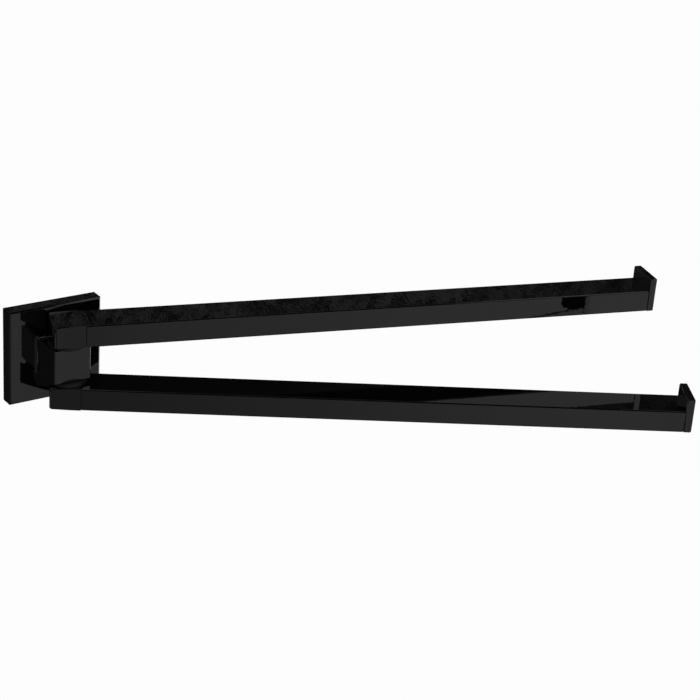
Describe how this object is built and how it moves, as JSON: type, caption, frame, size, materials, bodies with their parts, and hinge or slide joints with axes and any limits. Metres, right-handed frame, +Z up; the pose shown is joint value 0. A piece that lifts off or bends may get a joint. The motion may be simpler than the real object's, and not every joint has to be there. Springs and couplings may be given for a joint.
{
  "type": "swing arm towel bar",
  "caption": "Wall-mounted double towel bar: a square cover plate and post carry two flat bars that swing one above the other about an upright pin.",
  "frame": {"origin": "centre of the cover plate's back face, on the wall", "axes": "+X along the wall towards the arms' resting side, +Y into the wall, +Z up"},
  "size_m": [0.3645, 0.2111, 0.0597],
  "materials": {
    "black_gloss": "gloss black plated die casting",
    "black_gloss_tube": "gloss black plated brass tube",
    "bracket_zinc": "plain zinc alloy",
    "steel_screws": "dark zinc plated steel",
    "pin_steel": "ground stainless steel",
    "washer_plastic": "black acetal",
    "bush_plastic": "natural acetal"
  },
  "bodies": {
    "wall_base": {"wall_plate": "black_gloss", "wall_bracket": "bracket_zinc", "plate_grub_screw": "steel_screws", "post_block": "black_gloss", "post_screw": "steel_screws", "post_spring_washer": "steel_screws", "post_dowels": "steel_screws", "pivot_pin": "pin_steel", "upper_washer": "washer_plastic", "lower_washer": "washer_plastic"},
    "upper_arm": {"upper_hub": "black_gloss", "upper_bush": "bush_plastic", "upper_friction_pad": "bush_plastic", "upper_grub_screw": "steel_screws", "upper_bar": "black_gloss_tube", "upper_bar_screws": "steel_screws", "upper_end_cap": "black_gloss"},
    "lower_arm": {"lower_hub": "black_gloss", "lower_bush": "bush_plastic", "lower_friction_pad": "bush_plastic", "lower_grub_screw": "steel_screws", "lower_bar": "black_gloss_tube", "lower_bar_screws": "steel_screws", "lower_end_cap": "black_gloss"}
  },
  "joints": [
    {"name": "upper_swing", "type": "hinge", "parent": "wall_base", "child": "upper_arm", "pos_m": [0, -0.0225, 0], "axis": [0, 0, 1], "range_deg": [-163.7, 16.3]},
    {"name": "lower_swing", "type": "hinge", "parent": "wall_base", "child": "lower_arm", "pos_m": [0, -0.0225, 0], "axis": [0, 0, 1], "range_deg": [-149, 31]}
  ]
}
